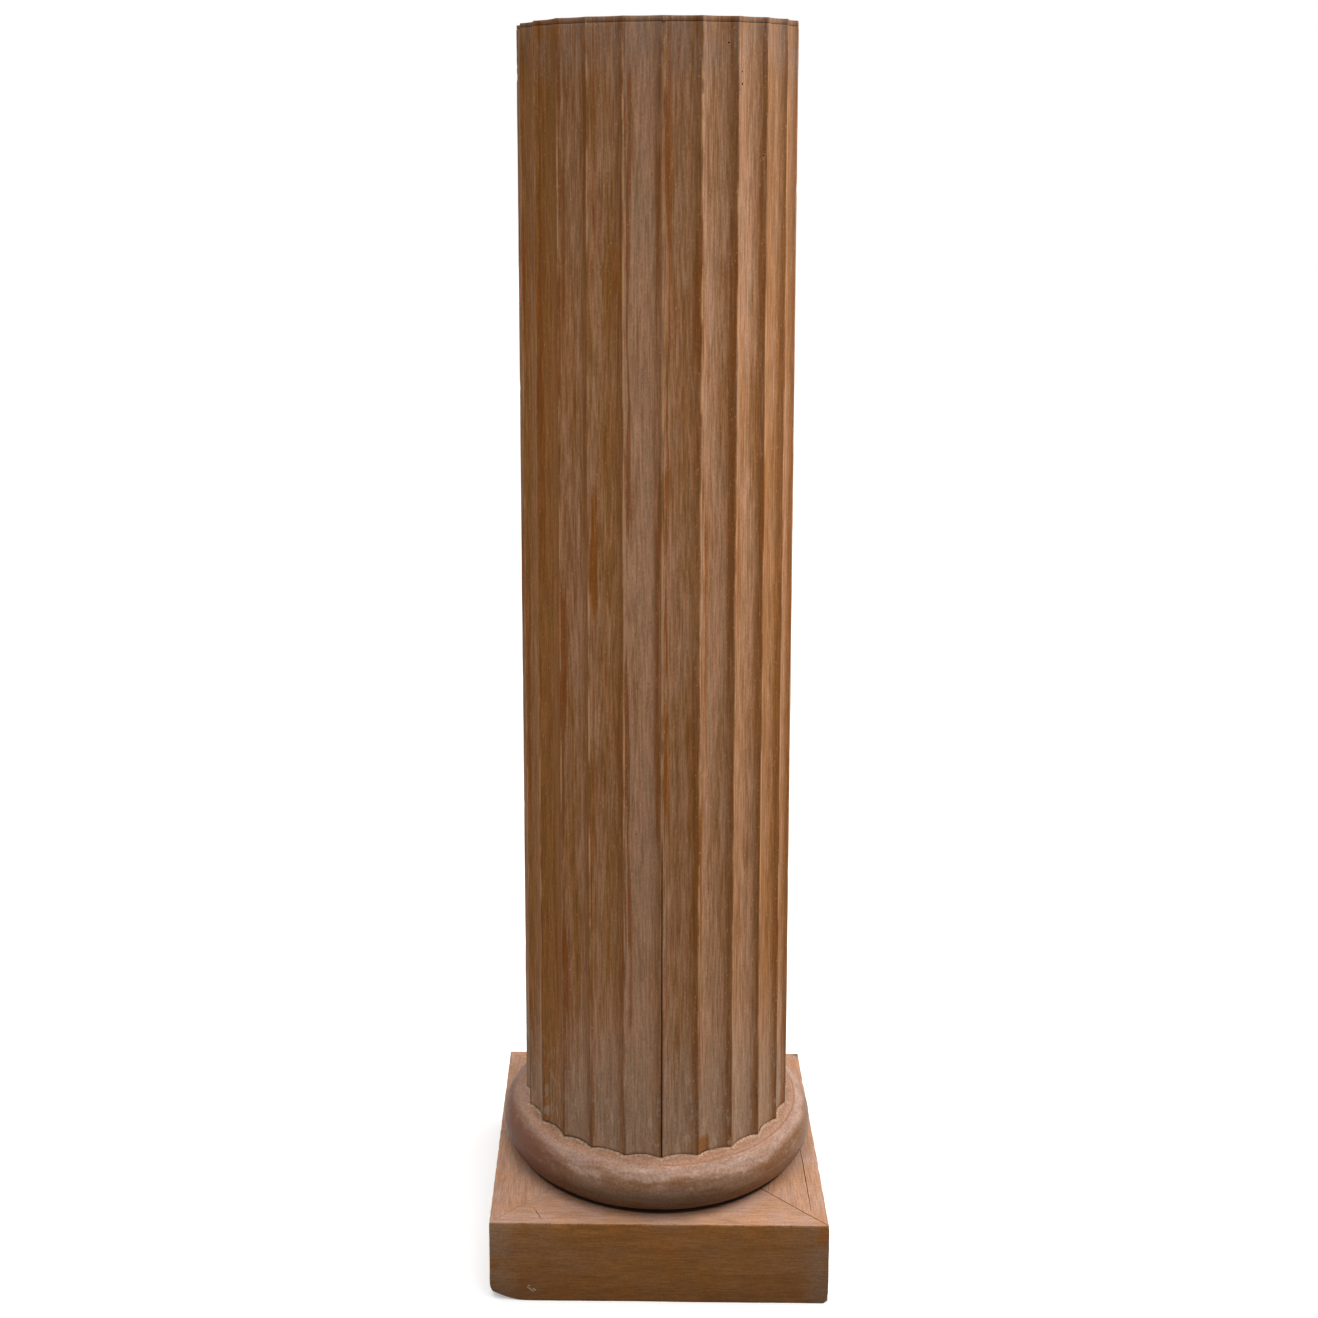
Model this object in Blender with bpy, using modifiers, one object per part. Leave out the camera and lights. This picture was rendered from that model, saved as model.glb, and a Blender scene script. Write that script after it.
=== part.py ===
"""A fluted wooden column, used as a stand.

A shaft with sharp flutes stands on a half-round moulding, and that on a square plinth of four
boards that are mitred at the corners. A thin board with the same flutes closes the top. The
column has no capital. It stands on Z = 0 with its axis on Z, and its front is towards -Y.
"""
import math

import bmesh
import bpy
from mathutils import Vector

# Plinth, in metres
PLINTH_HEIGHT = 0.076
PLINTH_MARGIN = 0.0043
BOARD_WIDTH = 0.076

# Worn corners under the plinth: how far each reaches up, along the front and along the side
LEFT_WEAR_UP = 0.008
LEFT_WEAR_FRONT = 0.026
LEFT_WEAR_SIDE = 0.018
RIGHT_WEAR_UP = 0.0045
RIGHT_WEAR_FRONT = 0.0045
RIGHT_WEAR_SIDE = 0.005

# Half-round moulding
TORUS_HEIGHT = 0.0474
TORUS_PROJECTION = 0.0217

# Shaft
SHAFT_HEIGHT = 1.0111
SHAFT_RADIUS = 0.1265
FLUTE_COUNT = 24
FLUTE_DEPTH = 0.0043
FRONT_ARRIS_TURN = math.radians(1.3)

# Top board
TOP_BOARD_THICKNESS = 0.0046

# Room left between pieces that touch
JOINT_GAP = 0.0003

# Fineness of the round shapes
FLUTE_STEPS = 10
TORUS_ARC_STEPS = 14
TORUS_TURN_STEPS = 96
SHARP_ANGLE = math.radians(25)

# Sizes that follow from the ones above
TORUS_RADIUS = SHAFT_RADIUS + TORUS_PROJECTION
PLINTH_WIDTH = 2 * (TORUS_RADIUS + PLINTH_MARGIN)
TORUS_BOTTOM = PLINTH_HEIGHT + JOINT_GAP
SHAFT_BOTTOM = TORUS_BOTTOM + TORUS_HEIGHT + JOINT_GAP
TOP_BOARD_BOTTOM = SHAFT_BOTTOM + SHAFT_HEIGHT + JOINT_GAP

# Colours of the wood where each piece has its own tone
SHAFT_WOOD = (0.27, 0.14, 0.08, 1)
MOULDING_WOOD = (0.33, 0.18, 0.11, 1)
PLINTH_WOOD = (0.38, 0.20, 0.12, 1)
TOP_BOARD_WOOD = (0.24, 0.13, 0.075, 1)
WOOD_ROUGHNESS = 0.7


def clear_scene():
    """Remove what the file holds at its start."""
    for obj in list(bpy.data.objects):
        bpy.data.objects.remove(obj, do_unlink=True)


def new_collection(name):
    """Make a collection in the scene."""
    collection = bpy.data.collections.new(name)
    bpy.context.scene.collection.children.link(collection)
    return collection


def wood(name, colour):
    """Make a plain wood material."""
    material = bpy.data.materials.new(name)
    material.use_nodes = True
    shader = material.node_tree.nodes["Principled BSDF"]
    shader.inputs["Base Color"].default_value = colour
    shader.inputs["Roughness"].default_value = WOOD_ROUGHNESS
    shader.inputs["Metallic"].default_value = 0.0
    return material


def fluted_outline():
    """Points around the shaft: hollow arcs that meet in sharp arrises."""
    half_pitch = math.pi / FLUTE_COUNT
    half_chord = SHAFT_RADIUS * math.sin(half_pitch)
    chord_distance = SHAFT_RADIUS * math.cos(half_pitch)
    arc_radius = (half_chord ** 2 + FLUTE_DEPTH ** 2) / (2 * FLUTE_DEPTH)
    arc_centre = chord_distance - FLUTE_DEPTH + arc_radius
    arc_half_angle = math.asin(half_chord / arc_radius)
    front = -math.pi / 2 + FRONT_ARRIS_TURN
    points = []
    for flute in range(FLUTE_COUNT):
        middle = front + (2 * flute + 1) * half_pitch
        outward = Vector((math.cos(middle), math.sin(middle)))
        sideways = Vector((-math.sin(middle), math.cos(middle)))
        for step in range(FLUTE_STEPS):
            angle = arc_half_angle * (2 * step / FLUTE_STEPS - 1)
            distance = arc_centre - arc_radius * math.cos(angle)
            points.append(outward * distance + sideways * arc_radius * math.sin(angle))
    return points


def board_outline():
    """Front board of the plinth seen from above, with a mitre at each end."""
    outer = PLINTH_WIDTH / 2
    inner = outer - BOARD_WIDTH
    mitre_gap = JOINT_GAP / math.sqrt(2)
    return [
        Vector((-outer + mitre_gap, -outer)),
        Vector((outer - mitre_gap, -outer)),
        Vector((inner - mitre_gap, -inner)),
        Vector((-inner + mitre_gap, -inner)),
    ]


def prism(name, outline, bottom, height, material, collection):
    """Raise a flat outline into a closed solid that stands on the given height."""
    curve = bpy.data.curves.new(name + "_outline", "CURVE")
    curve.dimensions = "2D"
    curve.fill_mode = "BOTH"
    curve.extrude = height / 2
    spline = curve.splines.new("POLY")
    spline.points.add(len(outline) - 1)
    for spline_point, point in zip(spline.points, outline):
        spline_point.co = (point.x, point.y, 0, 1)
    spline.use_cyclic_u = True
    guide = bpy.data.objects.new(name + "_outline", curve)
    collection.objects.link(guide)
    bpy.context.view_layer.update()
    evaluated = guide.evaluated_get(bpy.context.evaluated_depsgraph_get())
    mesh = bpy.data.meshes.new_from_object(evaluated)
    bpy.data.objects.remove(guide, do_unlink=True)
    shape = bmesh.new()
    shape.from_mesh(mesh)
    bmesh.ops.remove_doubles(shape, verts=shape.verts, dist=JOINT_GAP / 10)
    bmesh.ops.recalc_face_normals(shape, faces=shape.faces)
    shape.to_mesh(mesh)
    shape.free()
    mesh.shade_smooth()
    mesh.set_sharp_from_angle(angle=SHARP_ANGLE)
    mesh.materials.clear()
    mesh.materials.append(material)
    obj = bpy.data.objects.new(name, mesh)
    obj.location.z = bottom + height / 2
    collection.objects.link(obj)
    return obj


def turned(name, profile, steps, material, collection):
    """Turn a profile of radii and heights around the Z axis."""
    mesh = bpy.data.meshes.new(name)
    corners = [(radius, 0, height) for radius, height in profile]
    edges = [(index, index + 1) for index in range(len(profile) - 1)]
    mesh.from_pydata(corners, edges, [])
    mesh.materials.append(material)
    obj = bpy.data.objects.new(name, mesh)
    collection.objects.link(obj)
    screw = obj.modifiers.new("Turn", "SCREW")
    screw.axis = "Z"
    screw.steps = steps
    screw.render_steps = steps
    screw.use_smooth_shade = True
    screw.use_merge_vertices = True
    screw.merge_threshold = JOINT_GAP / 10
    return obj


def make_moulding(collection):
    """Half-round moulding with a flat top and a flat underside."""
    half_height = TORUS_HEIGHT / 2
    round_centre = TORUS_RADIUS - half_height
    profile = [(0, half_height)]
    for step in range(TORUS_ARC_STEPS + 1):
        angle = math.pi / 2 - math.pi * step / TORUS_ARC_STEPS
        radius = round_centre + half_height * math.cos(angle)
        profile.append((radius, half_height * math.sin(angle)))
    profile.append((0, -half_height))
    material = wood("torus_moulding", MOULDING_WOOD)
    moulding = turned("torus_moulding", profile, TORUS_TURN_STEPS, material, collection)
    moulding.location.z = TORUS_BOTTOM + half_height
    return moulding


def worn_corner_cutter(side, up, along_front, along_side, collection):
    """Block whose inner face slants across a lower front corner of the plinth.

    side is -1 for the left corner and 1 for the right one.
    """
    corner = Vector((side * PLINTH_WIDTH / 2, -PLINTH_WIDTH / 2, 0))
    slant = Vector((-side / along_front, 1 / along_side, 1 / up))
    depth = 1 / slant.length
    inward = slant.normalized()
    size = 2 * max(up, along_front, along_side)
    bpy.ops.mesh.primitive_cube_add(size=size)
    cutter = bpy.context.object
    cutter.name = "worn_corner_cutter"
    cutter.rotation_mode = "QUATERNION"
    cutter.rotation_quaternion = inward.to_track_quat("Z", "Y")
    cutter.location = corner + inward * (depth - size / 2)
    cutter.hide_render = True
    cutter.display_type = "WIRE"
    for holder in list(cutter.users_collection):
        holder.objects.unlink(cutter)
    collection.objects.link(cutter)
    return cutter


def cut(obj, cutter):
    """Take a cutter's shape out of a piece."""
    boolean = obj.modifiers.new("Wear", "BOOLEAN")
    boolean.operation = "DIFFERENCE"
    boolean.solver = "EXACT"
    boolean.object = cutter


def make_plinth(collection, cutters):
    """Four mitred boards around an open middle, worn at the lower front corners."""
    material = wood("plinth_boards", PLINTH_WOOD)
    boards = {}
    for turn, side in enumerate(("front", "right", "back", "left")):
        name = "plinth_board_" + side
        board = prism(name, board_outline(), 0, PLINTH_HEIGHT, material, collection)
        board.rotation_euler.z = turn * math.pi / 2
        boards[side] = board
    left_wear = worn_corner_cutter(-1, LEFT_WEAR_UP, LEFT_WEAR_FRONT, LEFT_WEAR_SIDE, cutters)
    right_wear = worn_corner_cutter(1, RIGHT_WEAR_UP, RIGHT_WEAR_FRONT, RIGHT_WEAR_SIDE, cutters)
    cut(boards["front"], left_wear)
    cut(boards["left"], left_wear)
    cut(boards["front"], right_wear)
    cut(boards["right"], right_wear)


def build():
    """Make the whole column from the plinth up."""
    clear_scene()
    column = new_collection("fluted_column")
    cutters = new_collection("cutters")
    make_plinth(column, cutters)
    make_moulding(column)
    flutes = fluted_outline()
    shaft_wood = wood("fluted_shaft", SHAFT_WOOD)
    prism("fluted_shaft", flutes, SHAFT_BOTTOM, SHAFT_HEIGHT, shaft_wood, column)
    board_wood = wood("top_board", TOP_BOARD_WOOD)
    prism("top_board", flutes, TOP_BOARD_BOTTOM, TOP_BOARD_THICKNESS, board_wood, column)


build()
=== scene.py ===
"""A fluted wooden column, stripped, washed and worn, with a chip here and a beetle hole there."""

import math
from types import SimpleNamespace

import bmesh
import bpy
import numpy as np
from mathutils import Matrix, Vector


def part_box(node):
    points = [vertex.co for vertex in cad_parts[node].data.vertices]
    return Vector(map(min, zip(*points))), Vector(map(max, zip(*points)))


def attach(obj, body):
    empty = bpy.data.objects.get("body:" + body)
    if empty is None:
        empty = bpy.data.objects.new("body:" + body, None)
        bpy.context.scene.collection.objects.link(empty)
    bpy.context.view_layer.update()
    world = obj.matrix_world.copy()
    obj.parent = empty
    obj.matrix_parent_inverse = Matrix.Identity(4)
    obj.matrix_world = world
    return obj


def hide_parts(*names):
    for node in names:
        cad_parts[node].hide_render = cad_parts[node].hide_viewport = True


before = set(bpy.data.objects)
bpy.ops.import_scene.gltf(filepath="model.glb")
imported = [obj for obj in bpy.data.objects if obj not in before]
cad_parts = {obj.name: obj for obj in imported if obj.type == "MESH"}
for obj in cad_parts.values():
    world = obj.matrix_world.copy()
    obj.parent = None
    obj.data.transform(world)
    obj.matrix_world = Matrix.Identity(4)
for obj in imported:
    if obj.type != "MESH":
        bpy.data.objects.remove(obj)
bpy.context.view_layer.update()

# Sizes of the solids, from the frame
PLINTH_HALF = -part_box("plinth_board_front")[0].y
PLINTH_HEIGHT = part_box("plinth_board_front")[1].z
BOARD_WIDTH = PLINTH_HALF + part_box("plinth_board_front")[1].y
TORUS_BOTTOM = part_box("torus_moulding")[0].z
TORUS_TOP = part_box("torus_moulding")[1].z
TORUS_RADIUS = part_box("torus_moulding")[1].x
SHAFT_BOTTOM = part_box("fluted_shaft")[0].z
SHAFT_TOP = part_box("fluted_shaft")[1].z
BOARD_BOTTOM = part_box("top_board")[0].z
BOARD_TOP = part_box("top_board")[1].z

# Flutes, counted to the right from flute 0, which has the front arris on its left
FLUTE_COUNT = 24
FLUTE_PITCH = 2 * math.pi / FLUTE_COUNT
MILLIMETRE = 0.001

# How much pale wash each flute in view still carries, from about 0 for hardly any to 1 for most of it
FLUTE_WASH = {
    -6: 0.5, -5: 0.2, -4: -0.2, -3: 0.45, -2: 0.45, -1: 0.9,
    0: 0.5, 1: 0.65, 2: 0.6, 3: 0.35, 4: 0.4,
}

# How far the maker set each of these arrises from its even place, in degrees
ARRIS_SHIFTS = {-3: -0.2, -2: -0.6, -1: -0.5, 1: 0.2, 2: 0.8, 3: 1.1, 4: 1.2, 5: 0.6}

# Camera, as the photograph was taken
CAMERA_PLACE = Vector((-0.0269, -1.6519, 1.0506))
CAMERA_TURN = math.radians(-1.379)
CAMERA_TILT = math.radians(8.444)
CAMERA_ROLL = math.radians(-0.267)
CAMERA_LENS = 49.55
CAMERA_SHIFT = (0.0564, -0.2009)


def outline_sizes():
    """Radius over the arrises, radius in the flutes and the turn of the front arris."""
    places = [vertex.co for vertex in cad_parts["fluted_shaft"].data.vertices]
    radii = [math.hypot(place.x, place.y) for place in places]
    outer = max(radii)
    turns = [math.atan2(p.x, -p.y) for p, radius in zip(places, radii) if radius > outer - 1e-5]
    return outer, min(radii), min(turns, key=abs)


ARRIS_RADIUS, FLUTE_RADIUS, FRONT_TURN = outline_sizes()


def ripple(seed, points, lengths, waves=12):
    """Smooth noise of about -1 to 1: seeded waves about as long as lengths say, in metres."""
    random = np.random.default_rng(seed)
    total = np.zeros(len(points))
    for _ in range(waves):
        direction = random.normal(size=3) / np.array(lengths)
        total += np.cos(points @ direction * 4 + random.uniform(0, 2 * math.pi))
    return total / math.sqrt(2 * waves)


def soft_least(first, second, blend):
    """The lesser of two values, with the corner between them rounded."""
    share = np.clip(0.5 + 0.5 * (second - first) / blend, 0, 1)
    return second * (1 - share) + first * share - blend * share * (1 - share)


def fall(value, full, gone):
    """1 where a value is at most full, 0 where it is at least gone, and smooth in between."""
    share = np.clip((gone - value) / (gone - full), 0, 1)
    return share * share * (3 - 2 * share)


def round_points(angles, radii, heights):
    """Points at these angles from the front, distances from the column's axis and heights."""
    places = np.broadcast_arrays(np.sin(angles) * radii, -np.cos(angles) * radii, heights)
    return np.stack(places, axis=-1).reshape(-1, 3)


def new_piece(name, points, faces, sharp_angle):
    """Make a smooth mesh piece from points and faces."""
    mesh = bpy.data.meshes.new(name)
    mesh.from_pydata(np.asarray(points).tolist(), [], faces)
    mesh.shade_smooth()
    mesh.set_sharp_from_angle(angle=sharp_angle)
    piece = bpy.data.objects.new(name, mesh)
    bpy.context.scene.collection.objects.link(piece)
    return piece


def store(piece, name, domain, values):
    """Keep a number for each point or face, so that a paint can read it."""
    attribute = piece.data.attributes.new(name, "FLOAT", domain)
    attribute.data.foreach_set("value", np.asarray(values, np.float32).ravel())


def tube_faces(rows, columns):
    """Faces of a grid that closes round its columns, with its first and last rows capped."""
    faces = []
    for row in range(rows - 1):
        low = row * columns
        for column in range(columns):
            after = (column + 1) % columns
            faces.append((low + column, low + after, low + columns + after, low + columns + column))
    faces.append(tuple(range(columns - 1, -1, -1)))
    faces.append(tuple(range((rows - 1) * columns, rows * columns)))
    return faces


def carve(piece, cutters):
    """Take the cutters' shapes out of a piece and remove them."""
    for cutter in cutters:
        boolean = piece.modifiers.new("Carve", "BOOLEAN")
        boolean.operation = "DIFFERENCE"
        boolean.solver = "EXACT"
        boolean.object = cutter
    bpy.context.view_layer.update()
    evaluated = piece.evaluated_get(bpy.context.evaluated_depsgraph_get())
    carved = bpy.data.meshes.new_from_object(evaluated)
    piece.modifiers.clear()
    piece.data = carved
    for cutter in cutters:
        bpy.data.objects.remove(cutter, do_unlink=True)


def joined_cutter(name, shape):
    """Turn a bmesh into one cutter object."""
    mesh = bpy.data.meshes.new(name)
    bmesh.ops.recalc_face_normals(shape, faces=shape.faces)
    shape.to_mesh(mesh)
    shape.free()
    cutter = bpy.data.objects.new(name, mesh)
    bpy.context.scene.collection.objects.link(cutter)
    return cutter


# Shaft and top board


def flute_shares():
    """Where points lie across one flute, from -1 at its left arris up to its right one.

    They crowd near the arrises, whose wear needs them.
    """
    half_width = ARRIS_RADIUS * math.sin(FLUTE_PITCH / 2)
    from_arris = np.array([0.0, 0.35, 0.8, 1.5, 2.6, 4.4, 7.0, 10.0, 13.4]) * MILLIMETRE
    left = from_arris / half_width - 1
    return np.concatenate([left, [0.0], -left[:0:-1]])


def fluted_columns():
    """Angle and radius round the shaft, with each point's flute and its place across it."""
    half_pitch = FLUTE_PITCH / 2
    half_chord = ARRIS_RADIUS * math.sin(half_pitch)
    chord_distance = ARRIS_RADIUS * math.cos(half_pitch)
    depth = chord_distance - FLUTE_RADIUS
    arc_radius = (half_chord ** 2 + depth ** 2) / (2 * depth)
    arc_centre = chord_distance - depth + arc_radius
    arc_half_angle = math.asin(half_chord / arc_radius)
    shares = flute_shares()
    flutes = np.repeat(np.arange(FLUTE_COUNT), len(shares))
    across = np.tile(shares, FLUTE_COUNT)
    sideways = arc_radius * np.sin(arc_half_angle * across)
    outward = arc_centre - arc_radius * np.cos(arc_half_angle * across)
    turns = flutes + 0.5 + np.arctan2(sideways, outward) / FLUTE_PITCH
    arrises = np.arange(-FLUTE_COUNT // 2, FLUTE_COUNT // 2 + 1)
    shifts = [math.radians(ARRIS_SHIFTS.get(int(arris), 0.0)) for arris in arrises]
    shift = np.interp(turns, arrises, shifts, period=FLUTE_COUNT)
    return FRONT_TURN + turns * FLUTE_PITCH + shift, np.hypot(sideways, outward), flutes, across


COLUMN_ANGLES, COLUMN_RADII, COLUMN_FLUTES, COLUMN_ACROSS = fluted_columns()

# Chips on the arrises: arris (0 is the front one, counted to the right), height, length, depth
ARRIS_CHIPS = [
    (0, 1.131, 0.026, 0.0022),
    (0, 1.066, 0.016, 0.0016),
    (1, 1.081, 0.014, 0.0012),
    (-4, 1.042, 0.012, 0.0012),
    (2, 0.905, 0.010, 0.0009),
    (-2, 0.352, 0.010, 0.0010),
    (3, 0.236, 0.012, 0.0010),
    (-3, 0.151, 0.014, 0.0013),
    (2, 0.130, 0.012, 0.0016),
]
SEAM_TOP = 0.437
SEAM_DEPTH = 0.0020
SEAM_REACH = 0.0009
HAIRLINE_DEPTH = 0.0006

# Length over which a worn arris rounds into its flutes
ARRIS_BLEND = 0.0005


def arris_wear(arris, heights):
    """How far an arris has worn back at each height, with its chips."""
    random = np.random.default_rng(300 + arris % FLUTE_COUNT)
    line = np.column_stack([np.full(len(heights), arris * 0.37), heights * 0, heights])
    wear = 0.00028 + 0.00016 * ripple(31, line, (1.0, 1.0, 0.06))
    wear = wear + 0.00020 * np.clip(ripple(32, line, (1.0, 1.0, 0.018)) - 0.6, 0, None)
    chips = [chip[1:] for chip in ARRIS_CHIPS if chip[0] % FLUTE_COUNT == arris % FLUTE_COUNT]
    for _ in range(6):
        place = random.uniform(SHAFT_BOTTOM, SHAFT_TOP)
        chips.append((place, random.uniform(0.004, 0.012), random.uniform(0.0003, 0.0008)))
    for place, length, depth in chips:
        reach = np.clip(1 - ((heights - place) / (length / 2)) ** 2, 0, 1)
        wear = np.maximum(wear, depth * np.sqrt(reach))
    return np.clip(wear, 0.0001, None)


def seam_depth(heights):
    """The open glue line on the front arris: wide below, a hairline above."""
    line = np.column_stack([heights * 0, heights * 0, heights])
    opening = np.clip((SEAM_TOP - heights) / 0.05, 0, 1)
    hairline = HAIRLINE_DEPTH * (0.6 + 0.4 * ripple(41, line, (1.0, 1.0, 0.05)))
    return hairline + opening * SEAM_DEPTH * (1 + 0.15 * ripple(42, line, (1.0, 1.0, 0.03)))


def foot_gap(angles):
    """How far the shaft's foot stands off the moulding: most on the left of the front."""
    turn = np.degrees((angles - FRONT_TURN + math.pi) % (2 * math.pi) - math.pi)
    left = 0.0010 * fall(np.abs(turn + 44), 14, 22)
    front = 0.0005 * fall(np.abs(turn + 7), 3, 7)
    ring = round_points(angles, ARRIS_RADIUS, 0)
    return np.maximum(left, front) + 0.0002 * np.clip(ripple(52, ring, (0.03, 0.03, 0.03)), 0, 1)


def shaft_heights():
    """Rows up the shaft, closer where its ends are worn."""
    low = np.linspace(0.0007, 0.045, 18)
    middle = np.linspace(0.045, 0.94, 132)[1:]
    high = np.linspace(0.94, 1 - 0.0005, 30)[1:]
    shares = np.concatenate([[0.0], low, middle, high, [1.0]])
    return SHAFT_BOTTOM + (SHAFT_TOP - SHAFT_BOTTOM) * shares


def make_shaft():
    """The fluted shaft, hand-worked, with worn and chipped arrises."""
    heights = shaft_heights()
    rows, columns = len(heights), len(COLUMN_ANGLES)
    radius = np.tile(COLUMN_RADII, (rows, 1))
    z = np.tile(heights[:, None], (1, columns))
    points = round_points(COLUMN_ANGLES, radius, z)
    plane_marks = 0.00016 * ripple(51, points, (0.02, 0.02, 0.35)).reshape(rows, columns)
    radius = radius - np.abs(plane_marks) * (1 - COLUMN_ACROSS ** 2)[None, :]
    for arris in range(FLUTE_COUNT):
        near = (COLUMN_FLUTES == arris) & (COLUMN_ACROSS < -0.6)
        near |= (COLUMN_FLUTES == (arris - 1) % FLUTE_COUNT) & (COLUMN_ACROSS > 0.6)
        limit = (ARRIS_RADIUS - arris_wear(arris, heights))[:, None]
        radius[:, near] = soft_least(radius[:, near], limit, ARRIS_BLEND)
    half_chord = ARRIS_RADIUS * math.sin(FLUTE_PITCH / 2)
    from_seam = np.full(columns, 1.0)
    right, left = COLUMN_FLUTES == 0, COLUMN_FLUTES == FLUTE_COUNT - 1
    from_seam[right] = (1 + COLUMN_ACROSS[right]) * half_chord
    from_seam[left] = (1 - COLUMN_ACROSS[left]) * half_chord
    radius = radius - seam_depth(heights)[:, None] * fall(from_seam, 0.0, SEAM_REACH)[None, :]
    radius[-1] -= 0.0001
    radius[0] -= 0.0004
    lift = foot_gap(COLUMN_ANGLES)
    z[0] += lift
    z[1] += lift
    points = round_points(COLUMN_ANGLES, radius, z)
    shaft = new_piece("worn_fluted_shaft", points, tube_faces(rows, columns), math.radians(50))
    mark_flutes(shaft, rows)
    carve(shaft, [worm_holes()])
    return shaft


def mark_flutes(piece, rows):
    """Store where each point lies in its flute, and how much wash each face's flute carries."""
    columns = len(COLUMN_FLUTES)
    store(piece, "arris_nearness", "POINT", np.tile(np.abs(COLUMN_ACROSS), rows))
    store(piece, "flute_lean", "POINT", np.tile(-np.sin(math.pi * COLUMN_ACROSS), rows))
    tones = []
    for flute in COLUMN_FLUTES:
        turned = (int(flute) + FLUTE_COUNT // 2) % FLUTE_COUNT - FLUTE_COUNT // 2
        random = np.random.default_rng(700 + turned + FLUTE_COUNT)
        tones.append(FLUTE_WASH.get(turned, random.uniform(0.1, 0.9)))
    values = np.full(len(piece.data.polygons), 0.5)
    values[:(rows - 1) * columns] = np.tile(tones, rows - 1)
    store(piece, "flute_wash", "FACE", values)


# Beetle holes in the shaft: turn from the front in degrees, height, diameter
BEETLE_HOLES = [
    (34.3, 1.0943, 0.0016),
    (34.3, 1.0840, 0.0022),
    (28.3, 1.1181, 0.0017),
    (46.0, 1.0240, 0.0017),
    (-48.0, 0.655, 0.0015),
    (110.0, 0.520, 0.0017),
    (113.0, 0.498, 0.0015),
    (196.0, 0.880, 0.0017),
    (201.0, 0.861, 0.0016),
    (250.0, 0.300, 0.0017),
]
BEETLE_HOLE_DEPTH = 0.006


def worm_holes():
    """Small round holes bored straight in from the surface."""
    shape = bmesh.new()
    for turn, height, diameter in BEETLE_HOLES:
        angle = math.radians(turn)
        outward = Vector((math.sin(angle), -math.cos(angle), 0))
        place = outward * ARRIS_RADIUS + Vector((0, 0, height))
        matrix = Matrix.Translation(place) @ outward.to_track_quat("Z", "Y").to_matrix().to_4x4()
        bmesh.ops.create_cone(
            shape,
            cap_ends=True,
            segments=12,
            radius1=diameter / 2,
            radius2=diameter / 2,
            depth=2 * (ARRIS_RADIUS - FLUTE_RADIUS + BEETLE_HOLE_DEPTH),
            matrix=matrix,
        )
    return joined_cutter("beetle_hole_cutters", shape)


# Top board: rounding of its rim, wear of its arrises and of its far left, and rings on its upper face
RIM_EASE = 0.0002
BOARD_ARRIS_WEAR = 0.0003
BOARD_LEFT_WEAR = 0.0013
BOARD_FACE_RINGS = (0.012, 0.04)


def make_top_board():
    """Thin board with the shaft's flutes, a little worn along its rim."""
    thickness = BOARD_TOP - BOARD_BOTTOM
    steps = [(0.0, RIM_EASE), (RIM_EASE, 0.0), (0.5 * thickness, 0.0), (thickness - RIM_EASE, 0.0)]
    steps += [(thickness, inset) for inset in (RIM_EASE, *BOARD_FACE_RINGS)]
    rows, columns = len(steps), len(COLUMN_ANGLES)
    ring = round_points(COLUMN_ANGLES, ARRIS_RADIUS, 0)
    rough = 0.00030 * np.abs(ripple(61, ring, (0.012, 0.012, 1.0)))
    left_wear = BOARD_LEFT_WEAR * np.clip((-np.sin(COLUMN_ANGLES) - 0.72) / 0.28, 0, 1)
    worn_arris = np.full(columns, ARRIS_RADIUS - BOARD_ARRIS_WEAR)
    points = []
    for index, (height, inset) in enumerate(steps):
        radius = soft_least(COLUMN_RADII, worn_arris, ARRIS_BLEND) - inset
        z = np.full(columns, BOARD_BOTTOM + height)
        if index < rows - 2:
            radius = radius - rough
        if height > 0.5 * thickness:
            z = z - left_wear * (0.4 if index == rows - 1 else 1.0)
        points.append(round_points(COLUMN_ANGLES, radius, z))
    points = np.concatenate(points)
    board = new_piece("worn_top_board", points, tube_faces(rows, columns), math.radians(50))
    mark_flutes(board, rows)
    return board


# Moulding

TURNING_LINE_RADIUS = 0.1335
TURNING_LINE_DEPTH = 0.0003
FILLER_WIDTH = 0.0034
FILLER_HEIGHT = 0.0011

# Rings of points on the moulding: under the shaft, round its foot, over the rounded edge and underneath
HIDDEN_RADII = (0.06, 0.10, 0.113, 0.116)
FOOT_RADIUS = 0.1175
FOOT_RINGS = 10
ARC_STEPS = 56
UNDERSIDE_RADII = (0.122, 0.112, 0.10, 0.06)
MOULDING_COLUMNS = 480


def moulding_profile():
    """Radii and heights from the top's middle part over the rounded edge to the underside."""
    half_height = (TORUS_TOP - TORUS_BOTTOM) / 2
    round_centre = TORUS_RADIUS - half_height
    foot_radii = np.linspace(FOOT_RADIUS, round_centre, FOOT_RINGS + 1)[:-1]
    top = [(radius, half_height) for radius in (*HIDDEN_RADII, *foot_radii)]
    arc = []
    for step in range(ARC_STEPS + 1):
        angle = math.pi / 2 - math.pi * step / ARC_STEPS
        arc.append((round_centre + half_height * math.cos(angle), half_height * math.sin(angle)))
    under = [(radius, -half_height) for radius in UNDERSIDE_RADII]
    return np.array(top + arc + under), half_height, round_centre


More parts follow.
